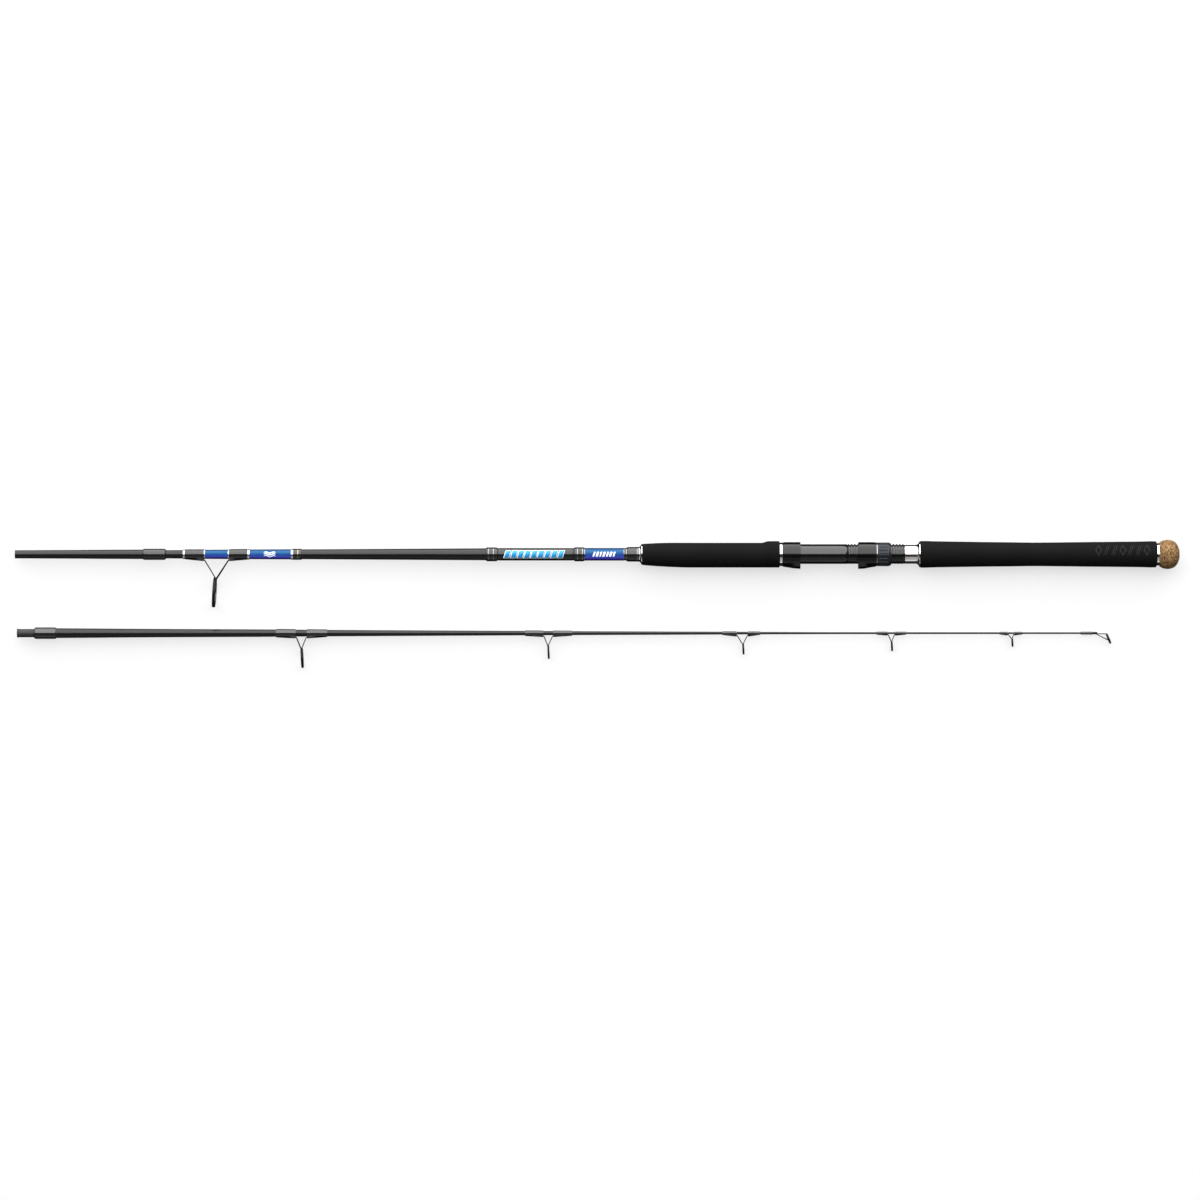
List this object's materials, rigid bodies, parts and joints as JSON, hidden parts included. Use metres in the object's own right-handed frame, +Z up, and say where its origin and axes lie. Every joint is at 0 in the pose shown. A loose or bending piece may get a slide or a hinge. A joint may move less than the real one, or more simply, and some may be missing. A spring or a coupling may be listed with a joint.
{
  "type": "two-piece fishing rod",
  "caption": "Two-piece spinning rod laid flat in its two sections, with ringed guides, a screw-down reel seat, foam grips and a cork butt cap.",
  "frame": {"origin": "on the floor, under the middle of the two sections as they lie", "axes": "+X along the rod towards the butt cap, +Z up off the floor, guides towards -Y"},
  "size_m": [1.304, 0.144, 0.0336],
  "materials": {
    "carbon_black": "glossy lacquered carbon tube",
    "thread_black": "black thread under thick clear epoxy",
    "blue_band": "deep metallic blue under clear epoxy",
    "label_black": "black sleeve under clear lacquer",
    "trim_silver": "bright silver trim",
    "trim_gold": "bright gold trim",
    "polished_metal": "polished",
    "eva_foam": "fine-celled closed foam, matt",
    "cork": "ground cork, fine sanded",
    "seat_plastic": "semi-gloss moulded",
    "nut_grey": "satin dark slate",
    "guide_metal": "black plated steel wire",
    "guide_ceramic": "polished dark ceramic",
    "arbor_foam": "light rigid foam",
    "plug_rubber": "soft matt rubber"
  },
  "bodies": {
    "butt_section": {"butt_blank": "carbon_black", "male_ferrule": "carbon_black", "ferrule_stop_wrap": "thread_black", "silver_trim_rings": "trim_silver", "gold_trim_ring": "trim_gold", "blue_band_front": "blue_band", "blue_band_middle": "blue_band", "blue_band_rear": "blue_band", "trim_wrap": "thread_black", "label_wrap_front": "thread_black", "label_wrap_rear": "thread_black", "check_wrap": "thread_black", "label_sleeve": "label_black", "stripper_frame": "guide_metal", "stripper_ceramic": "guide_ceramic", "stripper_wrap_rear": "thread_black", "stripper_wrap_front": "thread_black", "winding_check": "polished_metal", "foregrip": "eva_foam", "foregrip_ring": "polished_metal", "seat_barrel": "seat_plastic", "seat_arbors": "arbor_foam", "fixed_hood": "seat_plastic", "rear_sleeve": "polished_metal", "rear_check": "polished_metal", "rear_grip": "eva_foam", "butt_ring": "polished_metal", "cork_cap": "cork"},
    "sliding_hood": {"sliding_hood": "seat_plastic"},
    "lock_nut": {"lock_nut": "nut_grey", "slip_ring": "trim_silver"},
    "tip_section": {"tip_blank": "carbon_black", "tip_ferrule": "carbon_black", "ferrule_wrap": "thread_black", "guide_2_frame": "guide_metal", "guide_2_ceramic": "guide_ceramic", "guide_2_wraps": "thread_black", "guide_3_frame": "guide_metal", "guide_3_ceramic": "guide_ceramic", "guide_3_wraps": "thread_black", "guide_4_frame": "guide_metal", "guide_4_ceramic": "guide_ceramic", "guide_4_wraps": "thread_black", "guide_5_frame": "guide_metal", "guide_5_ceramic": "guide_ceramic", "guide_5_wraps": "thread_black", "guide_6_frame": "guide_metal", "guide_6_ceramic": "guide_ceramic", "guide_6_wraps": "thread_black", "tip_top_frame": "guide_metal", "tip_top_ceramic": "guide_ceramic", "tip_top_wrap": "thread_black"},
    "ferrule_plug": {"ferrule_plug": "plug_rubber"}
  },
  "joints": [
    {"name": "hood_slide", "type": "slide", "parent": "butt_section", "child": "sliding_hood", "axis": [1, 0, 0], "range_m": [-0.0301, 0.0141]},
    {"name": "nut_turn", "type": "hinge", "parent": "sliding_hood", "child": "lock_nut", "pos_m": [0.32165, 0.05535, 0.0168], "axis": [1, 0, 0], "range_deg": [-3000, 1400]},
    {"name": "tip_section_lift", "type": "slide", "parent": "butt_section", "child": "tip_section", "axis": [0, 0, 1], "range_m": [0, 0.12]},
    {"name": "plug_pull", "type": "slide", "parent": "tip_section", "child": "ferrule_plug", "axis": [-1, 0, 0.0055], "range_m": [0, 0.04]}
  ],
  "couplings": [
    {"joint": "hood_slide", "follows": "nut_turn", "m_per_rad": 0.00057296}
  ]
}
